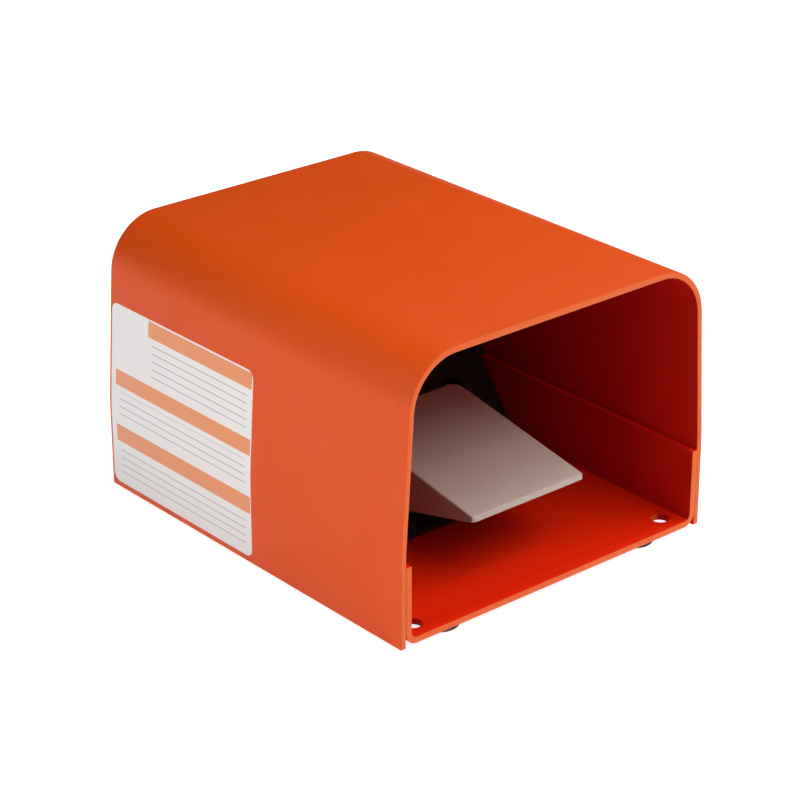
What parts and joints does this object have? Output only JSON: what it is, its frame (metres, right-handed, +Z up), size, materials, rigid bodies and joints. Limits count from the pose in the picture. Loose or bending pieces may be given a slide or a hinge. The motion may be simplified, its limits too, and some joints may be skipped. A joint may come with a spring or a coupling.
{
  "type": "industrial foot switch",
  "caption": "Foot switch with a spring-loaded pedal inside a bent-sheet tunnel guard on a channel base with rubber feet and a rear conduit hub.",
  "frame": {"origin": "on the ground, at the middle of the footprint", "axes": "+X to the right as the foot goes in, +Y from the open front to the rear, +Z up"},
  "size_m": [0.1524, 0.1778, 0.1135],
  "materials": {
    "guard_paint": "orange powder coat, satin, fine texture",
    "black_paint": "black powder coat, satin",
    "pedal_paint": "warm grey enamel, satin, smooth",
    "rubber": "matte black",
    "zinc_steel": "zinc plated",
    "bracket_steel": "galvanised sheet",
    "hub_casting": "zinc die casting, matte",
    "black_oxide": "blackened steel",
    "pin_steel": "ground steel",
    "spring_steel": "bright spring wire",
    "brass": "plain",
    "green_screw": "green dyed zinc",
    "case_plastic": "phenolic",
    "lid_plastic": "phenolic, dark red brown",
    "plunger_plastic": "moulded",
    "insulator_sheet": "pressed insulating sheet",
    "bushing_plastic": "black bearing plastic"
  },
  "bodies": {
    "base": {"guard_cover": "guard_paint", "base_pan": "guard_paint", "toe_plate": "black_paint", "rear_cover": "black_paint", "pivot_bracket": "black_paint", "rubber_feet": "rubber", "wire_grommet": "rubber", "stop_bumper": "rubber", "spring_seats": "rubber", "hub_gasket": "rubber", "toe_plate_screws": "zinc_steel", "rear_cover_screws": "zinc_steel", "clinch_nuts": "zinc_steel", "hub_locknut": "zinc_steel", "pin_clip": "zinc_steel", "switch_bracket_screws": "zinc_steel", "switch_screws": "zinc_steel", "switch_nuts": "zinc_steel", "switch_bracket": "bracket_steel", "conduit_hub": "hub_casting", "bracket_rivets": "black_oxide", "pivot_pin": "pin_steel", "return_springs": "spring_steel", "switch_terminals": "brass", "ground_washer": "brass", "ground_screw": "green_screw", "switch_case": "case_plastic", "switch_lid": "lid_plastic", "switch_insulator": "insulator_sheet"},
    "treadle": {"pedal": "pedal_paint", "striker_bar": "pedal_paint", "pedal_bushings": "bushing_plastic"},
    "plunger": {"switch_plunger": "plunger_plastic"}
  },
  "joints": [
    {"name": "pedal_pivot", "type": "hinge", "parent": "base", "child": "treadle", "pos_m": [0, 0.0011, 0.0365], "axis": [1, 0, 0], "range_deg": [0, 7.5], "stiffness_Nm_per_rad": 3, "springref_deg": -20.05, "deforming": ["return_springs"]},
    {"name": "plunger_slide", "type": "slide", "parent": "base", "child": "plunger", "axis": [0, 0, -1], "range_m": [0, 0.0028], "stiffness_N_per_m": 300, "springref_m": -0.003}
  ],
  "couplings": [
    {"joint": "plunger_slide", "follows": "pedal_pivot", "m_per_rad": 0.0205}
  ]
}
